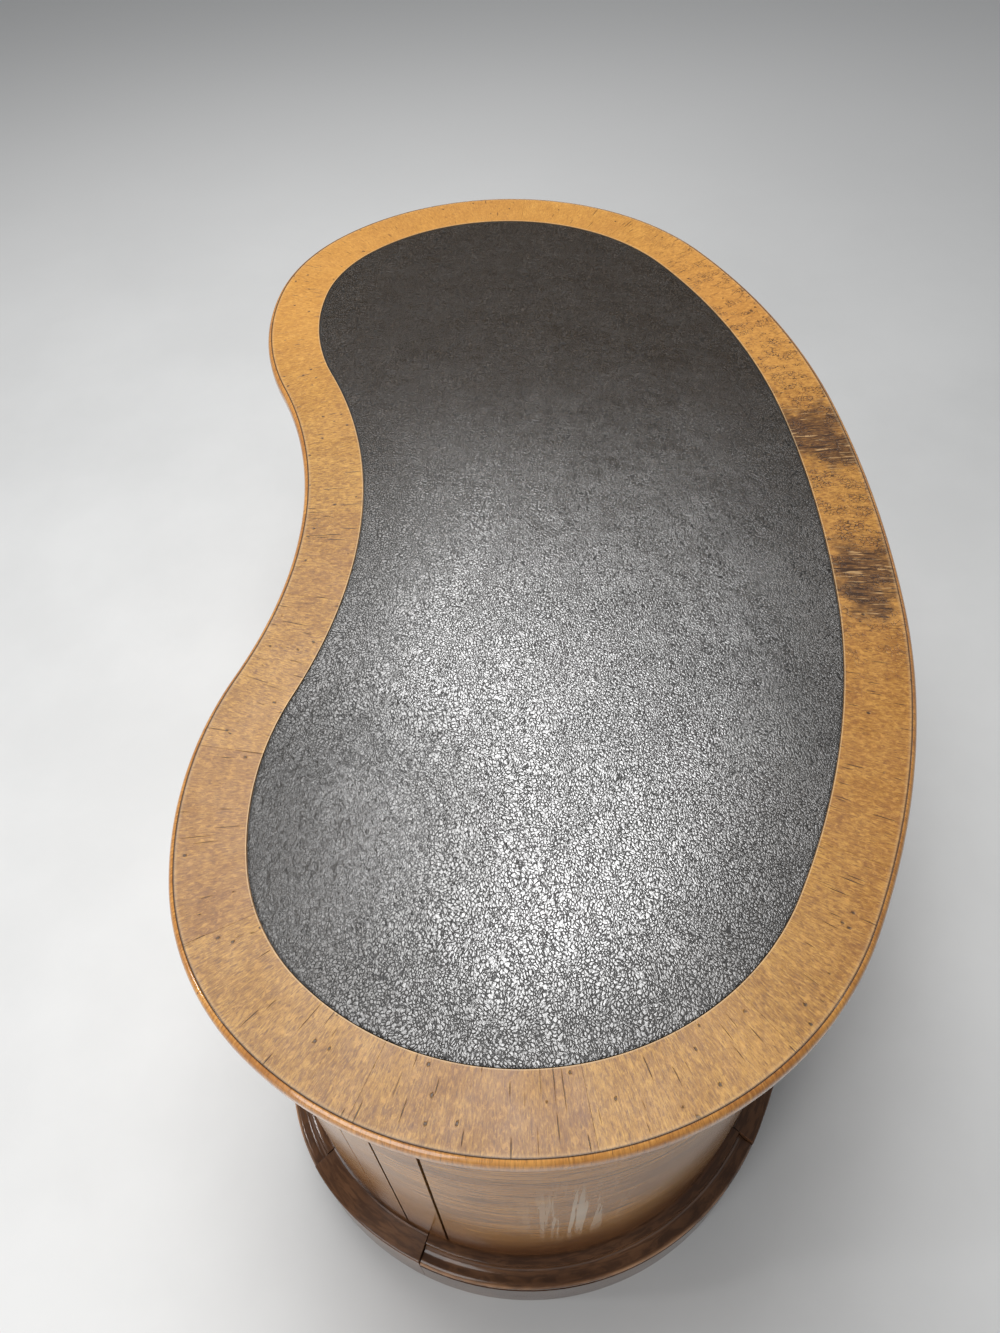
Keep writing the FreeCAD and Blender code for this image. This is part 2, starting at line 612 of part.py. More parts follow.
def make_drawers():
    opening = (OPENING_INNER, OPENING_OUTER)
    middle_x = (number(OPENING_INNER) + number(OPENING_OUTER)) / 2
    levels = {"upper": (FRIEZE_LOW, TOP_RAIL_LOW), "middle": (MIDDLE_LOW, FRIEZE_BOARD_LOW),
              "lower": (BOTTOM_LOW, MIDDLE_BOARD_LOW)}
    for level, (low, high) in levels.items():
        pieces = drawer(f"{level}_drawer", opening, (low, high), "pedestal_drawer_back")
        place, direction = knob_seat("lobe", middle_x, 1)
        place.z = (number(low) + number(high)) / 2
        seat = flat_seat(f"{level}_knob_seat", place, direction)
        pieces["front"] = cut(f"{level}_front_seated", pieces["front"], seat)
        pieces["knob"] = knob(f"{level}_knob", place, direction)
        for kind, piece in pieces.items():
            both_sides(piece, f"{level}_drawer_{kind}")
    span = (f"-{KNEEHOLE_SIDE}", KNEEHOLE_SIDE)
    pieces = drawer("frieze_drawer", span, (FRIEZE_LOW, TOP_RAIL_LOW), "frieze_drawer_back")
    place, direction = knob_seat("hollow", size("knob_spread") / 2, -1)
    place.z = (number(FRIEZE_LOW) + number(TOP_RAIL_LOW)) / 2
    seat = flat_seat("frieze_knob_seat", place, direction)
    left_seat = mirrored("frieze_knob_seat_left", seat)
    pieces["front"] = cut("frieze_front_seated", pieces["front"], seat, left_seat)
    right_knob = knob("frieze_knob", place, direction)
    pieces["knobs"] = group("frieze_knob_pair", right_knob, mirrored("frieze_knob_left", right_knob))
    for kind, piece in pieces.items():
        node(piece, f"frieze_drawer_{kind}")


make_top()
make_walls()
make_boards()
make_plinth()
make_drawers()
doc.recompute()

for thing in doc.Objects:
    if "Invalid" in thing.State or "Error" in thing.State:
        raise RuntimeError(f"{thing.Name} failed: {thing.State}")
for thing in NODES:
    if thing.Shape.isNull() or not thing.Shape.isValid() or not thing.Shape.Solids:
        raise RuntimeError(f"{thing.Label} has no valid solid")

os.makedirs("parts", exist_ok=True)
for thing in NODES:
    thing.Shape.exportStep(f"parts/{thing.Label}.step")
    print(thing.Label, len(thing.Shape.Solids), "solids", round(thing.Shape.Volume / 1000), "cm3")
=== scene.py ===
import json
import math
from collections import namedtuple

import bmesh
import bpy
from mathutils import Matrix, Vector, noise

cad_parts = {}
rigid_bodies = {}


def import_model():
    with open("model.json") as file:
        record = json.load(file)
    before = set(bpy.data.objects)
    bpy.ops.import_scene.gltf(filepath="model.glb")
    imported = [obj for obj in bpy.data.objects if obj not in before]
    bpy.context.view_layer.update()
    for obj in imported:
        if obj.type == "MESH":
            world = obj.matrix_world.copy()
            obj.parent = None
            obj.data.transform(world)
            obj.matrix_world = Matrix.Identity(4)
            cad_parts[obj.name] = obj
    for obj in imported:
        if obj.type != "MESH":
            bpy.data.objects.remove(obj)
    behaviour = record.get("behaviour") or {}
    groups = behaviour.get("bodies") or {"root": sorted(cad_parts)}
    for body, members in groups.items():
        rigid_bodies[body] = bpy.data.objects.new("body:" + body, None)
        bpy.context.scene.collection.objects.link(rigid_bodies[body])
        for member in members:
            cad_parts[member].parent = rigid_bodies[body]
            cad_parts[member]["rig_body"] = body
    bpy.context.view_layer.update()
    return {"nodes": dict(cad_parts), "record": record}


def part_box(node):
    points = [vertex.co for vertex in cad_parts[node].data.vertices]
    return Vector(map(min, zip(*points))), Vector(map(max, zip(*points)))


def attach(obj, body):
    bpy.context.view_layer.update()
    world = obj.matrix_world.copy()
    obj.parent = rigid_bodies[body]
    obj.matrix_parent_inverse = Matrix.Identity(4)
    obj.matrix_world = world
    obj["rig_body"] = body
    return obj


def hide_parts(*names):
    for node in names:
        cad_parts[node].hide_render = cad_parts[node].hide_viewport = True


# The looks of a kidney-shaped pedestal desk
# Metres. X runs along the desk, the hollow side faces -Y, and Z is up.

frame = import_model()

UP = Vector((0, 0, 1))
MM = 0.001

# Outline of the top: radii of its arcs, and the directions where one arc passes into the next
END_RADIUS = 0.365
CORNER_RADIUS = 0.285
LOBE_RADIUS = 0.420
HOLLOW_RADIUS = 0.625
SHOULDER_RADIUS = 0.975
BACK_RADIUS = 1.800
LOBE_TO_CORNER = -79.5
CORNER_TO_END = -44
END_TO_SHOULDER = 60

# Butt joints of the border, as directions from the centre of the arc that they cross
LOBE_JOINTS = (-101,)
CORNER_JOINTS = (-66,)
END_JOINTS = (-25, 8, 38)
SHOULDER_JOINTS = (64, 73, 82)
HOLLOW_JOINT = 78
JOINT_WIDTH = 0.15 * MM

# Sections of the top
LIPPING_WIDTH = 6 * MM
NOSE_RADIUS = 9 * MM
NOSE_DEPTH = 5 * MM
GLUE_LINE = 0.2 * MM
BORDER_WIDTH = 75 * MM
VENEER_THICKNESS = 3 * MM
LEATHER_MARGIN = 0.8 * MM
LEATHER_THICKNESS = 2.2 * MM
LEATHER_DROP = 0.7 * MM
SWEEP_STEP = 8 * MM
LEATHER_STEP = 5 * MM

# Points closer than this are one point, and faces that turn less than this many degrees are one face
MERGE_DISTANCE = 0.01 * MM
FLAT_WITHIN = 0.2

# How much the corners of the top's pieces are rounded
BORDER_EASING = 0.12 * MM
LIPPING_EASING = 0.5 * MM
LEATHER_EASING = 0.7 * MM

lip_low, lip_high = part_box("edge_lipping")
TOP = lip_high.z


def facing(degrees):
    return Vector((math.cos(math.radians(degrees)), math.sin(math.radians(degrees)), 0))


# A stretch of the edge, walked counterclockwise. The bulge is -1 where the edge is hollow.
Arc = namedtuple("Arc", "centre radius start stop bulge joints")


def mirrored(arc):
    centre = Vector((-arc.centre.x, arc.centre.y, 0))
    joints = tuple(180 - joint for joint in reversed(arc.joints))
    return arc._replace(centre=centre, start=180 - arc.stop, stop=180 - arc.start, joints=joints)


def outline():
    """The arcs of the top's edge, placed by the box of the lipping."""
    end = Vector((lip_high.x - END_RADIUS, 0, 0))
    corner = end + facing(CORNER_TO_END) * (END_RADIUS - CORNER_RADIUS)
    lobe = corner + facing(LOBE_TO_CORNER) * (CORNER_RADIUS - LOBE_RADIUS)
    shift = Vector((0, lip_low.y + LOBE_RADIUS - lobe.y, 0))
    end, corner, lobe = end + shift, corner + shift, lobe + shift
    shoulder = end - facing(END_TO_SHOULDER) * (SHOULDER_RADIUS - END_RADIUS)
    reach = LOBE_RADIUS + HOLLOW_RADIUS
    hollow = Vector((0, lobe.y - math.sqrt(reach ** 2 - lobe.x ** 2), 0))
    back = Vector((0, lip_high.y - BACK_RADIUS, 0))
    to_lobe = math.degrees(math.atan2(lobe.y - hollow.y, lobe.x))
    to_back = math.degrees(math.atan2(shoulder.y - back.y, shoulder.x))
    right = [Arc(lobe, LOBE_RADIUS, to_lobe - 180, LOBE_TO_CORNER, 1, LOBE_JOINTS),
             Arc(corner, CORNER_RADIUS, LOBE_TO_CORNER, CORNER_TO_END, 1, CORNER_JOINTS),
             Arc(end, END_RADIUS, CORNER_TO_END, END_TO_SHOULDER, 1, END_JOINTS),
             Arc(shoulder, SHOULDER_RADIUS, END_TO_SHOULDER, to_back, 1, SHOULDER_JOINTS)]
    front = Arc(hollow, HOLLOW_RADIUS, 90, to_lobe, -1, (HOLLOW_JOINT,))
    rear = Arc(back, BACK_RADIUS, to_back, 180 - to_back, 1, ())
    left = [mirrored(arc) for arc in reversed(right)]
    return [front] + right + [rear] + left + [mirrored(front)]


EDGE = outline()


def arc_length(arc):
    return math.radians(abs(arc.stop - arc.start)) * arc.radius


EDGE_LENGTH = sum(arc_length(arc) for arc in EDGE)


def on_edge(arc, direction, inset, height):
    """A point at a direction on an arc, set in from the edge."""
    point = arc.centre + facing(direction) * (arc.radius - arc.bulge * inset)
    return Vector((point.x, point.y, height))


Place = namedtuple("Place", "along inset arc direction")


def place_by_edge(point):
    """Where a point of the top lies: how far along the edge, and how far in from it."""
    found, along = None, 0
    for arc in EDGE:
        ray = Vector((point.x - arc.centre.x, point.y - arc.centre.y))
        middle = (arc.start + arc.stop) / 2
        direction = math.degrees(math.atan2(ray.y, ray.x))
        direction += 360 * round((middle - direction) / 360)
        inset = arc.bulge * (arc.radius - ray.length)
        slack = 0.001 + abs(arc.stop - arc.start) / 2
        if abs(direction - middle) <= slack and (found is None or inset < found.inset):
            distance = along + math.radians(abs(direction - arc.start)) * arc.radius
            found = Place(distance, inset, arc, direction)
        along += arc_length(arc)
    return found


# Pieces

def new_piece(name, bm, finish, body="carcase"):
    """A finished mesh as a named piece that rides on a body."""
    mesh = bpy.data.meshes.new(name)
    bm.to_mesh(mesh)
    bm.free()
    mesh.materials.append(finish)
    mesh.shade_smooth()
    piece = bpy.data.objects.new(name, mesh)
    bpy.context.scene.collection.objects.link(piece)
    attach(piece, body)
    return piece


def ease_corners(piece, width, sharper_than=35):
    """Round every corner of a piece a little, as wear and polish do."""
    easing = piece.modifiers.new("eased corners", "BEVEL")
    easing.width = width
    easing.segments = 2
    easing.limit_method = "ANGLE"
    easing.angle_limit = math.radians(sharper_than)
    shading = piece.modifiers.new("true broad faces", "WEIGHTED_NORMAL")
    shading.mode = "FACE_AREA"
    shading.weight = 50


def sweep(bm, section, stretch):
    """Carry a closed section of (inset, height) corners along a stretch of the edge."""
    first = stretch[0]
    corners = [bm.verts.new(on_edge(first, first.start, *corner)) for corner in section]
    sides = [bm.edges.new(pair) for pair in zip(corners, corners[1:] + corners[:1])]
    moving = corners + sides
    for arc in stretch:
        turn = math.radians(arc.stop - arc.start)
        steps = max(1, round(abs(turn) * arc.radius / SWEEP_STEP))
        spun = bmesh.ops.spin(bm, geom=moving, cent=arc.centre, axis=UP, angle=turn, steps=steps)
        moving = spun["geom_last"]


def lay_grain(bm, shift=0):
    """Give a piece of the edge a map in metres: along the edge, and in from it over the section."""
    layer = bm.loops.layers.uv.new("edge")
    for face in bm.faces:
        middle = place_by_edge(face.calc_center_median()).along
        for loop in face.loops:
            place = place_by_edge(loop.vert.co)
            along = place.along + EDGE_LENGTH * round((middle - place.along) / EDGE_LENGTH)
            loop[layer].uv = (along + shift, place.inset - (TOP - loop.vert.co.z))


def border_leaves():
    """The stretches of the border between its butt joints."""
    leaves, stretch = [], []
    for arc in EDGE:
        start = arc.start
        for joint in arc.joints:
            leaves.append(stretch + [arc._replace(start=start, stop=joint)])
            stretch, start = [], joint
        stretch.append(arc._replace(start=start))
    leaves[0] = stretch + leaves[0]
    return leaves


def trimmed(leaf):
    """A leaf less half a joint at both its ends."""
    first, last = leaf[0], leaf[-1]
    gap = math.degrees(JOINT_WIDTH / 2)
    first = first._replace(start=first.start + first.bulge * gap / first.radius)
    last = last if len(leaf) > 1 else first
    last = last._replace(stop=last.stop - last.bulge * gap / last.radius)
    return [last] if len(leaf) == 1 else [first] + leaf[1:-1] + [last]


def make_border(finish):
    """Crossbanding of the top, leaf by leaf, each with its own run of grain."""
    low = TOP - VENEER_THICKNESS
    outer, inner = LIPPING_WIDTH + GLUE_LINE, BORDER_WIDTH
    section = [(inner, low), (outer, low), (outer, TOP), (inner, TOP)]
    whole = bmesh.new()
    for number, leaf in enumerate(border_leaves()):
        bm = bmesh.new()
        sweep(bm, section, trimmed(leaf))
        bmesh.ops.remove_doubles(bm, verts=bm.verts, dist=MERGE_DISTANCE)
        bmesh.ops.holes_fill(bm, edges=[e for e in bm.edges if e.is_boundary], sides=len(section))
        bmesh.ops.recalc_face_normals(bm, faces=bm.faces)
        lay_grain(bm, shift=number * EDGE_LENGTH)
        leaf_mesh = bpy.data.meshes.new("leaf")
        bm.to_mesh(leaf_mesh)
        bm.free()
        whole.from_mesh(leaf_mesh)
        bpy.data.meshes.remove(leaf_mesh)
    piece = new_piece("border_crossbanding", whole, finish)
    ease_corners(piece, BORDER_EASING)
    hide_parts("crossbanding")


def make_lipping(finish):
    """Solid lipping with a thumb-nail nose, one closed ring round the top."""
    low = lip_low.z
    rise = math.sqrt(2 * NOSE_RADIUS * NOSE_DEPTH - NOSE_DEPTH ** 2)
    turn = math.acos(1 - NOSE_DEPTH / NOSE_RADIUS)
    nose_steps = 6
    nose = []
    for step in range(nose_steps + 1):
        angle = turn * step / nose_steps
        nose.append((NOSE_RADIUS * (1 - math.cos(angle)), rise - NOSE_RADIUS * math.sin(angle)))
    upper = [(inset, TOP - drop) for inset, drop in nose]
    lower = [(inset, low + drop) for inset, drop in reversed(nose)]
    section = [(LIPPING_WIDTH, low)] + lower + upper + [(LIPPING_WIDTH, TOP)]
    bm = bmesh.new()
    sweep(bm, section, EDGE)
    bmesh.ops.remove_doubles(bm, verts=bm.verts, dist=MERGE_DISTANCE)
    bmesh.ops.recalc_face_normals(bm, faces=bm.faces)
    lay_grain(bm)
    piece = new_piece("nosed_lipping", bm, finish)
    ease_corners(piece, LIPPING_EASING, sharper_than=20)
    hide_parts("edge_lipping")


# Marks of use in the leather, as places on the top
DENT = Vector((0.030, -0.010, 0))
DENT_RADIUS = 14 * MM
DENT_DEPTH = 1.1 * MM
LUMPY_CORNER = Vector((0.46, -0.27, 0))
LUMPY_REACH = 0.30

# Heights of the leather's unevenness, and the most it may rise towards the level of the border
BROAD_SWELL = 0.25 * MM
LUMPS = 0.10 * MM
CORNER_LUMPS = 0.45 * MM
CORNER_PUCKERS = 0.20 * MM
RIPPLES = 0.10 * MM
HIGHEST_RISE = 0.8 * LEATHER_DROP


def leather_relief(point):
    """Rise and fall of old leather that has stretched and come loose from its bed in places."""
    broad = noise.noise(point * 9) * BROAD_SWELL
    nearness = max(0, 1 - (point - LUMPY_CORNER).length / LUMPY_REACH)
    lumps = noise.noise(point * 42) * (LUMPS + CORNER_LUMPS * nearness)
    lumps += noise.noise(point * 90) * CORNER_PUCKERS * nearness
    ripples = noise.noise(Vector((point.x * 26, point.y * 60, 4.0))) * RIPPLES
    dent = -DENT_DEPTH * math.exp(-((point - DENT).length / DENT_RADIUS) ** 2)
    return min(broad + lumps + ripples + dent, HIGHEST_RISE)


def make_leather(finish):
    """The writing leather: one skin laid into the border and pressed down at its edge."""
    low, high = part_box("leather_inset")
    rim = BORDER_WIDTH + LEATHER_MARGIN
    size = high - low
    columns, rows = (math.ceil(length / LEATHER_STEP) + 2 for length in size.xy)
    bm = bmesh.new()
    bmesh.ops.create_grid(bm, x_segments=columns, y_segments=rows, size=0.5)
    bmesh.ops.scale(bm, vec=(columns * LEATHER_STEP, rows * LEATHER_STEP, 1), verts=bm.verts)
    bmesh.ops.translate(bm, vec=(low + high) / 2, verts=bm.verts)
    closest = rim + 0.2 * LEATHER_STEP
    outside = [f for f in bm.faces if place_by_edge(f.calc_center_median()).inset < closest]
    bmesh.ops.delete(bm, geom=outside, context="FACES")
    border = [v for v in bm.verts if v.is_boundary]
    for vert in border:
        place = place_by_edge(vert.co)
        vert.co = on_edge(place.arc, place.direction, rim, vert.co.z)
    near_border = [v for v in bm.verts if not v.is_boundary
                   and place_by_edge(v.co).inset < rim + 3 * LEATHER_STEP]
    for _ in range(4):
        bmesh.ops.smooth_vert(bm, verts=near_border, factor=0.5, use_axis_x=True, use_axis_y=True)
    from_rim = bm.verts.layers.float.new("from_rim")
    for vert in bm.verts:
        inset = place_by_edge(vert.co).inset - rim
        vert[from_rim] = inset
        flat = Vector((vert.co.x, vert.co.y, 0))
        settled = min(1, inset / (4 * LEATHER_STEP))
        vert.co.z = TOP - LEATHER_DROP + leather_relief(flat) * settled
    bmesh.ops.recalc_face_normals(bm, faces=bm.faces)
    if bm.faces[:][0].normal.z < 0:
        bmesh.ops.reverse_faces(bm, faces=bm.faces)
    area = sum(face.calc_area() for face in bm.faces)
    piece = new_piece("writing_leather", bm, finish)
    thickness = piece.modifiers.new("skin thickness", "SOLIDIFY")
    thickness.thickness = LEATHER_THICKNESS
    thickness.offset = -1
    ease_corners(piece, LEATHER_EASING)
    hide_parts("leather_inset")


# Curved walls with open joints between their staves, and how far they stand in from the edge of the top
JOINTED = ("front_post", "back_post", "end_panel", "back_panel")
WALL_INSET = 32 * MM


def make_eased_copy(node, finish, width):
    """A merged copy of a CAD piece with smooth curves and eased corners, which stands for the piece.

    A jointed wall also carries how deep its points lie behind its face, and which faces run into a joint.
    """
    bm = bmesh.new()
    bm.from_mesh(frame["nodes"][node].data)
    bmesh.ops.remove_doubles(bm, verts=bm.verts, dist=MERGE_DISTANCE)
    bmesh.ops.dissolve_limit(bm, angle_limit=math.radians(FLAT_WITHIN), verts=bm.verts, edges=bm.edges)
    if node.endswith(JOINTED):
        from_face = bm.verts.layers.float.new("from_face")
        in_joint = bm.faces.layers.float.new("in_joint")
        for vert in bm.verts:
            vert[from_face] = place_by_edge(vert.co).inset - WALL_INSET
        for face in bm.faces:
            depths = [vert[from_face] for vert in face.verts]
            face[in_joint] = max(depths) - min(depths) > WALL_INSET / 4
    piece = new_piece(f"{node}_finished", bm, finish, frame["nodes"][node]["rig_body"])
    ease_corners(piece, width)
    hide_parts(node)


# Finishes

class Finish:
    """A material in the making. Each call adds one shader node and gives back its output."""

    def __init__(self, name, **surface):
        self.material = bpy.data.materials.new(name)
        self.material.use_nodes = True
        self.tree = self.material.node_tree
        self.surface = self.tree.nodes["Principled BSDF"]
        for socket, value in surface.items():
            self.feed(self.surface.inputs[socket.replace("_", " ")], value)

    def feed(self, socket, value):
        if isinstance(value, bpy.types.NodeSocket):
            self.tree.links.new(value, socket)
        else:
            socket.default_value = value

    def add(self, kind, inputs, output=0, **settings):
        made = self.tree.nodes.new(f"ShaderNode{kind}")
        for name, value in settings.items():
            setattr(made, name, value)
        for name, value in inputs.items():
            self.feed(made.inputs[name], value)
        return made.outputs[output]

    def by_edge(self):
        return self.add("UVMap", {}, uv_map="edge")

    def by_place(self):
        return self.add("TexCoord", {}, "Object")

    def axis(self, vector, name):
        return self.add("SeparateXYZ", {0: vector}, name)

    def mark(self, name):
        """A number that the mesh itself carries."""
        return self.add("Attribute", {}, "Fac", attribute_name=name)

    def stretch(self, vector, scale, turn=0):
        turned = (0, 0, math.radians(turn))
        return self.add("Mapping", {"Vector": vector, "Scale": scale, "Rotation": turned})

    def cloud(self, vector, detail=3, roughness=0.5, warp=0):
        inputs = {"Vector": vector, "Scale": 1, "Detail": detail,
                  "Roughness": roughness, "Distortion": warp}
        return self.add("TexNoise", inputs, "Fac")

    def cells(self, vector, output="Distance", **settings):
        return self.add("TexVoronoi", {"Vector": vector, "Scale": 1}, output, **settings)

    def between(self, value, low, high):
        """0 below one value, 1 above the other, and a soft step between them."""
        inputs = {"Value": value, "From Min": low, "From Max": high}
        return self.add("MapRange", inputs, interpolation_type="SMOOTHSTEP")

    def to_range(self, value, low, high):
        return self.add("MapRange", {"Value": value, "To Min": low, "To Max": high})

    def sum(self, first, second, operation="ADD"):
        return self.add("Math", {0: first, 1: second}, operation=operation)

    def times(self, first, second):
        return self.sum(first, second, "MULTIPLY")

    def mix(self, amount, first, second):
        return self.add("Mix", {0: amount, 6: first, 7: second}, 2, data_type="RGBA")

    def tint(self, colour, where, amount, tone):
        """A colour with another tone laid over it in places."""
        return self.mix(self.times(where, amount), colour, tone)

    def near(self, vector, place, reach):
        """1 at a place, falling softly to 0 at its reach."""
        away = self.add("VectorMath", {0: vector, 1: place}, "Value", operation="DISTANCE")
        return self.between(away, reach, 0)

    def shifted(self, vector, wander, sway):
        """Places moved about by a wandering pattern."""
        inputs = {0: wander, 1: (sway, sway, sway), 2: vector}
        return self.add("VectorMath", inputs, operation="MULTIPLY_ADD")

    def bump(self, height, strength, depth, below=None):
        inputs = {"Height": height, "Strength": strength, "Distance": depth}
        if below is not None:
            inputs["Normal"] = below
        return self.add("Bump", inputs)

    def finished(self, colour, roughness, normal):
        self.feed(self.surface.inputs["Base Color"], colour)
        self.feed(self.surface.inputs["Roughness"], roughness)
        self.feed(self.surface.inputs["Normal"], normal)
        return self.material


def rgb(red, green, blue):
    return (red, green, blue, 1)


def scratches(wood, vector, across, along, turn, share):
    """Scattered straight scratches: long thin spots in a few of the cells of a drawn-out pattern."""
    drawn = wood.stretch(vector, (across, along, 1), turn)
    spot = wood.between(wood.cells(drawn), 0.24, 0.10)
    chosen = wood.add("SeparateColor", {0: wood.cells(drawn, "Color")})
    return wood.times(spot, wood.between(chosen, 1 - share, 1 - share + 0.02))


# Dark stains in the border, as places on the top with their reach
STAINS = ((Vector((-0.118, 0.345, TOP)), 0.090), (Vector((-0.085, 0.365, TOP)), 0.065),
          (Vector((0.128, 0.355, TOP)), 0.080), (Vector((0.172, 0.345, TOP)), 0.060))
STAIN_DRIFT = 40 * MM


def make_border_veneer():
    """Crossbanded veneer under old polish: gold mottle, fibres, pores, scratches, pits and stains, painted
    brighter towards the far end as painted light, with a painted highlight along its inner edge.
    """
    wood = Finish("border_veneer", Specular_IOR_Level=0.4)
    edge, place = wood.by_edge(), wood.by_place()
    tone = wood.cloud(wood.stretch(edge, (7, 11, 1)), detail=4, roughness=0.6, warp=0.4)
    mottle = wood.cloud(wood.stretch(edge, (70, 38, 1)), detail=4, roughness=0.6, warp=0.8)
    grain = wood.cloud(wood.stretch(edge, (420, 22, 1)), detail=4, roughness=0.65)
    fibre = wood.cloud(wood.stretch(edge, (620, 120, 1)), detail=3, roughness=0.7)
    speckle = wood.cloud(wood.stretch(edge, (760, 170, 3)), detail=3, roughness=0.65)
    leaf = wood.cloud(wood.stretch(edge, (1.3, 2.0, 7)), detail=1)
    pores = wood.between(wood.cloud(wood.stretch(edge, (950, 85, 4)), detail=2), 0.62, 0.70)
    colour = wood.mix(wood.between(tone, 0.3, 0.7), rgb(0.25, 0.112, 0.018), rgb(0.35, 0.175, 0.034))
    colour = wood.tint(colour, wood.between(mottle, 0.46, 0.68), 0.7, rgb(0.44, 0.235, 0.052))
    colour = wood.tint(colour, wood.between(mottle, 0.46, 0.26), 0.7, rgb(0.17, 0.068, 0.017))
    colour = wood.tint(colour, wood.between(grain, 0.52, 0.34), 0.45, rgb(0.20, 0.085, 0.024))
    colour = wood.tint(colour, wood.between(fibre, 0.52, 0.68), 0.60, rgb(0.57, 0.325, 0.075))
    colour = wood.tint(colour, wood.between(fibre, 0.48, 0.34), 0.80, rgb(0.14, 0.058, 0.018))
    colour = wood.tint(colour, wood.between(speckle, 0.55, 0.70), 0.40, rgb(0.53, 0.31, 0.075))
    colour = wood.tint(colour, wood.between(speckle, 0.45, 0.30), 0.75, rgb(0.10, 0.040, 0.013))
    colour = wood.tint(colour, wood.between(leaf, 0.52, 0.35), 0.35, rgb(0.19, 0.070, 0.017))
    colour = wood.tint(colour, wood.between(leaf, 0.50, 0.68), 0.25, rgb(0.58, 0.310, 0.090))
    curl = wood.cloud(wood.stretch(edge, (230, 150, 5)), detail=3, roughness=0.6, warp=0.6)
    back = wood.between(wood.axis(place, "Y"), 0.12, 0.32)
    aged = wood.times(back, wood.between(wood.axis(place, "X"), 0.36, 0.14))
    curled = wood.to_range(wood.sum(wood.times(back, 0.55), wood.times(aged, 0.45)), 0.36, 0.62)
    colour = wood.tint(colour, wood.between(curl, 0.47, 0.34), curled, rgb(0.13, 0.050, 0.014))
    colour = wood.tint(colour, wood.between(curl, 0.53, 0.66), curled, rgb(0.56, 0.290, 0.070))
    far = wood.between(wood.axis(place, "X"), -0.05, -0.50)
    colour = wood.tint(colour, back, 0.25, rgb(0.36, 0.140, 0.036))
    # Painted light: the border is painted brighter and more orange towards the far end.
    colour = wood.tint(colour, far, 0.30, rgb(0.85, 0.40, 0.085))
    colour = wood.tint(colour, pores, 0.65, rgb(0.09, 0.040, 0.015))

    ragged = wood.cloud(wood.stretch(edge, (52, 24, 1)), detail=7, roughness=0.8, warp=0.5)
    drift = wood.add("TexNoise", {"Vector": place, "Scale": 34, "Detail": 5}, "Color")
    spread = wood.shifted(place, drift, 2 * STAIN_DRIFT)
    stained = None
    for spot, reach in STAINS:
        around = wood.near(spread, spot + Vector((STAIN_DRIFT,) * 3), reach)
        here = wood.between(wood.sum(around, wood.times(ragged, 1.5)), 0.85, 1.55)
        stained = here if stained is None else wood.sum(stained, here, "MAXIMUM")
    crazing = wood.cells(wood.stretch(edge, (260, 190, 1)), feature="DISTANCE_TO_EDGE")
    dry = wood.times(aged, wood.between(mottle, 0.54, 0.42))
    crazed = wood.times(wood.between(crazing, 0.10, 0.02), dry)
    dark_lines = wood.cloud(wood.stretch(edge, (240, 26, 9)), detail=3)
    strokes = wood.times(stained, wood.between(dark_lines, 0.53, 0.62))
    pale_lines = wood.cloud(wood.stretch(edge, (280, 30, 23)), detail=3)
    bared = wood.times(stained, wood.between(pale_lines, 0.57, 0.65))
    blotch = wood.times(stained, wood.between(fibre, 0.75, 0.40))
    colour = wood.tint(colour, stained, 0.55, rgb(0.120, 0.050, 0.020))
    colour = wood.tint(colour, blotch, 0.75, rgb(0.036, 0.017, 0.010))
    colour = wood.tint(colour, bared, 0.7, rgb(0.50, 0.310, 0.140))
    colour = wood.tint(colour, wood.sum(strokes, crazed, "MAXIMUM"), 0.85, rgb(0.026, 0.012, 0.007))

    scratched = scratches(wood, edge, 330, 14, 24, 0.08)
    for across, along, turn, share in ((300, 18, -37, 0.08), (380, 11, 71, 0.06), (340, 30, 5, 0.12)):
        scratched = wood.sum(scratched, scratches(wood, edge, across, along, turn, share), "MAXIMUM")
    pitted = wood.stretch(edge, (74, 60, 1))
    pits = wood.between(wood.sum(wood.cells(pitted), wood.times(speckle, 0.30)), 0.30, 0.22)
    chosen = wood.add("SeparateColor", {0: wood.cells(pitted, "Color")})
    pits = wood.times(pits, wood.between(chosen, 0.52, 0.56))
    marks = wood.sum(scratched, pits, "MAXIMUM")
    colour = wood.tint(colour, marks, 0.9, rgb(0.035, 0.017, 0.009))

    inset = wood.axis(edge, "Y")
    # Pale tint: worn flecks along the outer edge, and a painted highlight along the inner edge beside the
    # leather.
    inner_edge_highlight = wood.between(inset, BORDER_WIDTH - 1.6 * MM, BORDER_WIDTH - 0.2 * MM)
    outer_edge = wood.between(inset, LIPPING_WIDTH + 5 * MM, LIPPING_WIDTH)
    rubbed = wood.sum(inner_edge_highlight, wood.times(outer_edge, fibre), "MAXIMUM")
    colour = wood.tint(colour, rubbed, 0.40, rgb(0.74, 0.54, 0.31))
    grime = wood.between(inset, LIPPING_WIDTH + 1.8 * MM, LIPPING_WIDTH + 0.6 * MM)
    colour = wood.tint(colour, grime, 0.8, rgb(0.045, 0.020, 0.010))

    roughness = wood.to_range(wood.cloud(wood.stretch(place, (22, 22, 22)), detail=4), 0.28, 0.52)
    height = wood.sum(wood.times(grain, 0.35), wood.times(fibre, 0.35))
    height = wood.sum(height, wood.times(wood.sum(marks, crazed), -1.0))
    dents = wood.cloud(wood.stretch(place, (75, 75, 75)), detail=2)
    normal = wood.bump(height, 0.65, 0.40 * MM, wood.bump(dents, 0.25, 0.8 * MM))
    return wood.finished(colour, roughness, normal)


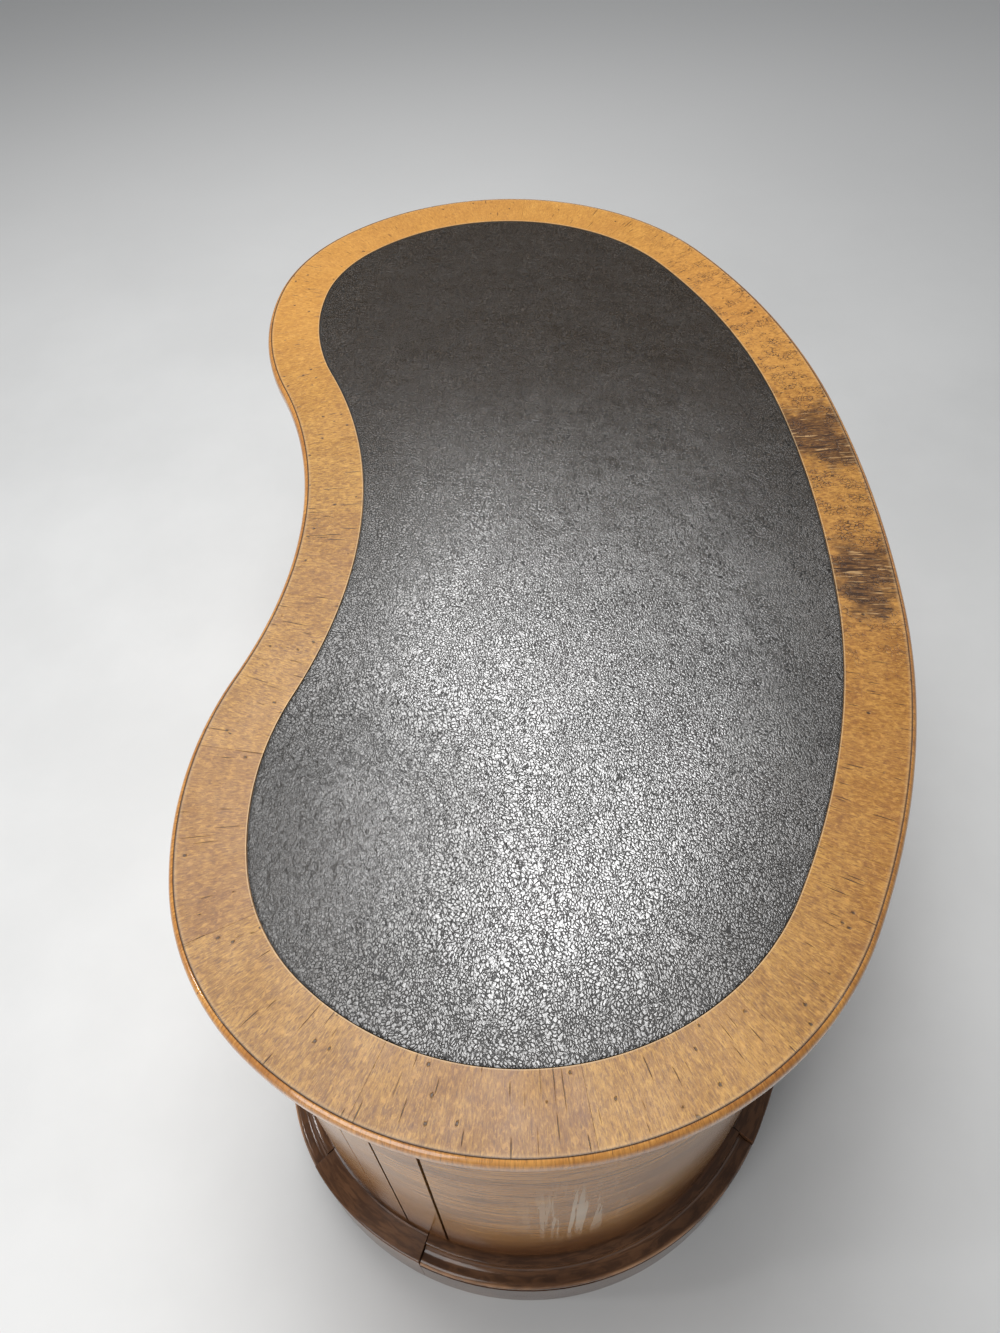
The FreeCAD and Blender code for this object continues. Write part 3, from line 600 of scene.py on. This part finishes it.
def make_lipping_wood():
    """Lipping with its grain across the edge: orange gold, dinged, and dirty beside the border."""
    wood = Finish("lipping_wood", Coat_Weight=0.8, Coat_Roughness=0.09)
    edge, place = wood.by_edge(), wood.by_place()
    tone = wood.cloud(wood.stretch(edge, (9, 20, 1)), detail=4, roughness=0.6)
    grain = wood.cloud(wood.stretch(edge, (420, 40, 1)), detail=4, roughness=0.6, warp=0.3)
    pores = wood.between(wood.cloud(wood.stretch(edge, (900, 90, 1)), detail=1), 0.62, 0.72)
    colour = wood.mix(wood.between(tone, 0.32, 0.68), rgb(0.40, 0.155, 0.030), rgb(0.62, 0.290, 0.065))
    colour = wood.tint(colour, wood.between(grain, 0.56, 0.34), 0.55, rgb(0.22, 0.080, 0.018))
    colour = wood.tint(colour, wood.between(grain, 0.54, 0.72), 0.5, rgb(0.76, 0.42, 0.13))
    colour = wood.tint(colour, pores, 0.6, rgb(0.09, 0.036, 0.014))
    over = wood.axis(edge, "Y")
    seam = wood.between(over, LIPPING_WIDTH - 1.2 * MM, LIPPING_WIDTH - 0.3 * MM)
    colour = wood.tint(colour, seam, 0.8, rgb(0.035, 0.016, 0.009))
    dings = wood.between(wood.cells(wood.stretch(place, (120, 120, 120))), 0.16, 0.08)
    dings = wood.times(dings, wood.between(tone, 0.5, 0.6))
    colour = wood.tint(colour, dings, 0.7, rgb(0.06, 0.028, 0.014))
    roughness = wood.to_range(wood.cloud(wood.stretch(place, (30, 30, 30)), detail=3), 0.22, 0.40)
    height = wood.sum(wood.times(grain, 0.4), wood.times(dings, -1.0))
    return wood.finished(colour, roughness, wood.bump(height, 0.3, 0.3 * MM))


def make_leather_finish():
    """Old pebbled leather: polished crests between creases painted near black as shade, lumpy in one corner,
    brown at the far end and painted darker there as shade, with painted shade along its edge.
    """
    skin = Finish("desk_leather", Specular_IOR_Level=0.4, Coat_Roughness=0.18, Coat_IOR=2.45)
    place = skin.by_place()
    bent = place
    for scale, sway in ((14, 0.030), (80, 0.006), (300, 0.0016)):
        wander = skin.add("TexNoise", {"Vector": place, "Scale": scale, "Detail": 2}, "Color")
        bent = skin.shifted(bent, wander, sway)
    creases = skin.cells(skin.stretch(bent, (265, 375, 265), turn=30), feature="DISTANCE_TO_EDGE")
    fine_creases = skin.cells(skin.stretch(bent, (760, 700, 760)), feature="DISTANCE_TO_EDGE")
    patches = skin.cloud(skin.stretch(place, (13, 13, 13)), detail=5, roughness=0.65)
    age = skin.cloud(skin.stretch(place, (5, 5, 5)), detail=4, roughness=0.6)
    width = skin.to_range(patches, 0.14, 0.20)
    crest = skin.add("MapRange", {"Value": creases, "From Min": 0.02, "From Max": width},
                     interpolation_type="SMOOTHSTEP")
    broken = skin.between(skin.cloud(skin.stretch(bent, (260, 320, 260)), detail=2), 0.50, 0.68)
    smooth = skin.near(place, LUMPY_CORNER + Vector((0, 0, TOP)), LUMPY_REACH)
    broken = skin.sum(broken, skin.times(skin.times(smooth, smooth), 0.75), "MAXIMUM")
    crest = skin.sum(crest, skin.times(broken, 0.8), "MAXIMUM")
    dome = skin.between(creases, 0.0, 0.42)
    fine_crest = skin.between(fine_creases, 0.0, 0.10)
    pebbles = skin.sum(skin.times(crest, 0.65), skin.times(dome, 0.35))
    height = skin.sum(pebbles, skin.times(fine_crest, 0.10))
    far = skin.between(skin.axis(place, "X"), 0.32, -0.35)
    from_rim = skin.mark("from_rim")
    rim = skin.between(from_rim, 3.5 * MM, 1.0 * MM)
    rubbed = skin.to_range(skin.between(from_rim, 0.0, 150 * MM), 0.30, 1.0)
    colour = skin.mix(skin.between(age, 0.35, 0.65), rgb(0.050, 0.047, 0.044), rgb(0.090, 0.085, 0.080))
    # Painted shade: the leather goes darker brown towards the far end.
    colour = skin.mix(far, colour, rgb(0.019, 0.012, 0.006))
    grains = skin.between(skin.cloud(skin.stretch(bent, (420, 520, 420)), detail=2), 0.50, 0.62)
    colour = skin.tint(colour, grains, skin.to_range(far, 0.2, 0.6), rgb(0.110, 0.090, 0.072))
    # Painted shade: the creases go near black.
    colour = skin.mix(skin.between(crest, 0.75, 0.15), colour, rgb(0.004, 0.003, 0.002))
    # Painted shade: a near-black line along the leather's edge beside the border.
    colour = skin.mix(rim, colour, rgb(0.006, 0.005, 0.004))
    polish = skin.to_range(patches, 0.18, 0.30)
    polish = skin.sum(polish, skin.times(far, -0.06))
    roughness = skin.sum(polish, skin.times(skin.between(crest, 0.9, 0.3), 0.15))
    roughness = skin.sum(roughness, skin.times(smooth, 0.12))
    roughness = skin.sum(roughness, skin.times(rim, 0.4))
    sealed = skin.times(skin.between(crest, 0.05, 0.6), skin.to_range(far, 1.0, 0.0))
    sealed = skin.times(skin.times(sealed, rubbed), skin.to_range(smooth, 1.0, 0.45))
    skin.feed(skin.surface.inputs["Coat Weight"], sealed)
    soft = skin.cloud(skin.stretch(place, (900, 900, 900)), detail=2)
    lumps = skin.cloud(skin.stretch(place, (48, 80, 48)), detail=4, roughness=0.6)
    lumps = skin.times(lumps, skin.to_range(smooth, 0.04, 1.0))
    under = skin.bump(soft, 0.20, 0.20 * MM, skin.bump(lumps, 1.0, 8.0 * MM))
    normal = skin.bump(height, 0.65, 0.45 * MM, under)
    skin.feed(skin.surface.inputs["Coat Normal"], normal)
    return skin.finished(colour, roughness, normal)


# Rubbed marks on the near end panel: their place, how they are drawn out, and how far they reach
SCUFFS = Vector((0.715, -0.010, 0.38))
SCUFF_STRETCH = Vector((1, 1.6, 0.6))
SCUFF_REACH = 0.12

# Heights between which the walls darken towards the foot
FOOT_STARTS = 0.30
FOOT_DARK = 0.15

# Depths behind the face of a wall between which an open joint goes black
JOINT_SHADE_STARTS = 0.3 * MM
JOINT_BLACK = 1.0 * MM


def make_wall_veneer():
    """Polished veneer of the pedestals: level figure in browns and amber, darker towards the foot."""
    wood = Finish("wall_veneer", Coat_Weight=0.08, Coat_Roughness=0.12)
    place = wood.by_place()
    tone = wood.cloud(wood.stretch(place, (3, 3, 9)), detail=3, warp=0.5)
    figure = wood.cloud(wood.stretch(place, (9, 9, 48)), detail=4, roughness=0.6, warp=0.9)
    streaks = wood.cloud(wood.stretch(place, (4, 4, 170)), detail=3, roughness=0.55, warp=0.8)
    grain = wood.cloud(wood.stretch(place, (30, 30, 900)), detail=3, roughness=0.6)
    pores = wood.between(wood.cloud(wood.stretch(place, (70, 70, 1500)), detail=1), 0.60, 0.70)
    colour = wood.mix(wood.between(tone, 0.35, 0.65), rgb(0.40, 0.185, 0.055), rgb(0.54, 0.270, 0.085))
    colour = wood.tint(colour, wood.between(figure, 0.50, 0.72), 0.8, rgb(0.64, 0.325, 0.085))
    colour = wood.tint(colour, wood.between(figure, 0.46, 0.28), 0.7, rgb(0.12, 0.052, 0.018))
    colour = wood.tint(colour, wood.between(streaks, 0.46, 0.30), 0.7, rgb(0.08, 0.035, 0.014))
    colour = wood.tint(colour, wood.between(grain, 0.58, 0.36), 0.4, rgb(0.09, 0.040, 0.016))
    colour = wood.tint(colour, pores, 0.45, rgb(0.07, 0.032, 0.014))
    rubbing = wood.between(wood.cloud(wood.stretch(place, (60, 95, 4)), detail=3), 0.48, 0.60)
    drawn = wood.stretch(place, SCUFF_STRETCH)
    dull = wood.times(rubbing, wood.near(drawn, SCUFFS * SCUFF_STRETCH, SCUFF_REACH))
    colour = wood.tint(colour, dull, 0.7, rgb(0.58, 0.53, 0.45))
    depth = wood.mark("from_face")
    shaded = wood.times(wood.between(depth, JOINT_SHADE_STARTS, JOINT_BLACK),
                        wood.mark("in_joint"))
    colour = wood.mix(shaded, colour, rgb(0.010, 0.007, 0.005))
    foot = wood.between(wood.axis(place, "Z"), FOOT_STARTS, FOOT_DARK)
    colour = wood.tint(colour, foot, 0.85, rgb(0.085, 0.028, 0.010))
    roughness = wood.to_range(wood.cloud(wood.stretch(place, (14, 14, 30)), detail=2), 0.14, 0.20)
    roughness = wood.sum(roughness, wood.times(dull, 0.3))
    return wood.finished(colour, roughness, wood.bump(grain, 0.04, 0.10 * MM))


# Height of the plinth's bead, along which a coppery highlight is painted
PLINTH_BEAD_HEIGHT = 99 * MM


def make_plinth_wood():
    """Dark red-brown plinth: grain along its length, with a coppery highlight painted in places along the
    bead.
    """
    wood = Finish("plinth_wood", Specular_IOR_Level=0.4)
    place = wood.by_place()
    tone = wood.cloud(wood.stretch(place, (7, 7, 20)), detail=4, roughness=0.6)
    grain = wood.cloud(wood.stretch(place, (35, 35, 500)), detail=4, roughness=0.6, warp=0.5)
    colour = wood.mix(wood.between(tone, 0.3, 0.7), rgb(0.085, 0.037, 0.017), rgb(0.165, 0.076, 0.034))
    colour = wood.tint(colour, wood.between(grain, 0.6, 0.4), 0.5, rgb(0.026, 0.011, 0.006))
    above = wood.sum(wood.axis(place, "Z"), -PLINTH_BEAD_HEIGHT)
    bead_highlight = wood.between(wood.add("Math", {0: above}, operation="ABSOLUTE"), 6 * MM, 2 * MM)
    bead_highlight = wood.times(bead_highlight, wood.between(tone, 0.36, 0.58))
    # Painted highlight: a coppery line along the bead, broken up by the tone.
    colour = wood.tint(colour, bead_highlight, 0.9, rgb(0.42, 0.215, 0.100))
    roughness = wood.to_range(wood.cloud(wood.stretch(place, (20, 20, 20)), detail=3), 0.10, 0.22)
    return wood.finished(colour, roughness, wood.bump(grain, 0.2, 0.2 * MM))


def make_inner_wood():
    """Unpolished inner wood: plain brown boards with straight grain along the desk's depth."""
    wood = Finish("inner_wood")
    place = wood.by_place()
    tone = wood.cloud(wood.stretch(place, (8, 2, 8)), detail=3)
    grain = wood.cloud(wood.stretch(place, (260, 6, 260)), detail=4, roughness=0.6, warp=0.3)
    colour = wood.mix(wood.between(tone, 0.3, 0.7), rgb(0.27, 0.140, 0.055), rgb(0.38, 0.215, 0.095))
    colour = wood.tint(colour, wood.between(grain, 0.6, 0.38), 0.5, rgb(0.15, 0.072, 0.028))
    roughness = wood.to_range(tone, 0.55, 0.75)
    return wood.finished(colour, roughness, wood.bump(grain, 0.25, 0.25 * MM))


def make_brass():
    """Turned brass gone dull: brown and rough in patches, brighter and smoother between them."""
    metal = Finish("brass", Metallic=1)
    place = metal.by_place()
    patina = metal.cloud(metal.stretch(place, (130, 130, 130)), detail=5, roughness=0.65)
    colour = metal.mix(metal.between(patina, 0.38, 0.66), rgb(0.30, 0.19, 0.075), rgb(0.62, 0.43, 0.17))
    roughness = metal.to_range(patina, 0.42, 0.24)
    fine = metal.cloud(metal.stretch(place, (900, 900, 900)), detail=2)
    return metal.finished(colour, roughness, metal.bump(fine, 0.08, 0.1 * MM))


def make_floor_finish():
    """Smooth pale grey floor with a faint mottle, painted paler away from the desk as painted light."""
    ground = Finish("pale_floor", Specular_IOR_Level=0.3)
    place = ground.by_place()
    mottle = ground.cloud(ground.stretch(place, (1.6, 1.6, 1)), detail=6, roughness=0.6)
    colour = ground.mix(ground.between(mottle, 0.3, 0.7), rgb(0.68, 0.685, 0.68), rgb(0.74, 0.745, 0.74))
    # Painted light: the floor grows paler away from the desk.
    away = ground.between(ground.axis(place, "X"), -0.8, -3.2)
    colour = ground.mix(away, colour, rgb(0.95, 0.95, 0.94))
    fine = ground.cloud(ground.stretch(place, (160, 160, 1)), detail=4)
    roughness = ground.to_range(mottle, 0.45, 0.60)
    return ground.finished(colour, roughness, ground.bump(fine, 0.05, 0.4 * MM))


FINISHES = {"border_veneer": make_border_veneer(), "lipping_wood": make_lipping_wood(),
            "desk_leather": make_leather_finish(), "wall_veneer": make_wall_veneer(),
            "plinth_wood": make_plinth_wood(), "inner_wood": make_inner_wood(), "brass": make_brass()}


SLOTS = {subpart["node"]: subpart["material_slot"] for subpart in frame["record"]["subparts"]}
EASED = {"wall_veneer": 0.3 * MM, "plinth_wood": 0.8 * MM, "brass": 0.3 * MM}
MADE_HERE = ("crossbanding", "edge_lipping", "leather_inset")

make_border(FINISHES["border_veneer"])
make_lipping(FINISHES["lipping_wood"])
make_leather(FINISHES["desk_leather"])
for node, thing in frame["nodes"].items():
    slot = SLOTS[node]
    if slot in EASED and node not in MADE_HERE:
        make_eased_copy(node, FINISHES[slot], EASED[slot])
    elif node not in MADE_HERE:
        thing.data.materials.clear()
        thing.data.materials.append(FINISHES[slot])


# Floor, light and camera

FLOOR_HALF = 12
CAMERA_PLACE = Vector((0.9386, -0.0631, TOP + 0.8791))


def make_floor(half):
    bm = bmesh.new()
    bmesh.ops.create_grid(bm, x_segments=1, y_segments=1, size=half)
    mesh = bpy.data.meshes.new("floor")
    bm.to_mesh(mesh)
    bm.free()
    mesh.materials.append(make_floor_finish())
    floor = bpy.data.objects.new("floor", mesh)
    bpy.context.scene.collection.objects.link(floor)


def soft_lamp(name, place, aim, size, watts):
    """A square studio lamp that looks from its place towards its aim."""
    light = bpy.data.lights.new(name, "AREA")
    light.size = size
    light.energy = watts
    lamp = bpy.data.objects.new(name, light)
    lamp.location = place
    lamp.rotation_euler = (Vector(aim) - Vector(place)).to_track_quat("-Z", "Y").to_euler()
    bpy.context.scene.collection.objects.link(lamp)


def make_camera():
    """The photograph's view: from above the near end, along the desk."""
    image_height = 1333
    focal_pixels = 1031.4
    pitch, yaw, roll = 51.94, 0.60, -2.55
    lens = bpy.data.cameras.new("view")
    lens.sensor_width = 36
    lens.lens = lens.sensor_width * focal_pixels / image_height
    camera = bpy.data.objects.new("view", lens)
    heading = Matrix.Rotation(math.radians(90 + yaw), 4, "Z")
    tilt = Matrix.Rotation(math.radians(90 - pitch), 4, "X")
    bank = Matrix.Rotation(math.radians(roll), 4, "Z")
    camera.matrix_world = Matrix.Translation(CAMERA_PLACE) @ heading @ tilt @ bank
    bpy.context.scene.collection.objects.link(camera)
    bpy.context.scene.camera = camera


make_floor(FLOOR_HALF)
soft_lamp("overhead", (-0.85, -0.54, 3.00), (0.20, -0.05, TOP), 1.8, 64)
soft_lamp("near overhead", (0.20, -0.05, 3.00), (0.55, -0.05, TOP), 0.9, 24)
soft_lamp("near left", (3.30, -2.00, 1.90), (0.70, -0.30, 0.40), 2.2, 68)
soft_lamp("left", (0.75, -3.60, 2.20), (0.65, -0.30, 0.70), 0.35, 14)
world = bpy.data.worlds.new("room")
world.use_nodes = True
world.node_tree.nodes["Background"].inputs["Color"].default_value = rgb(0.80, 0.82, 0.85)
world.node_tree.nodes["Background"].inputs["Strength"].default_value = 0.22
bpy.context.scene.world = world
make_camera()
bpy.context.scene.view_settings.view_transform = "Standard"
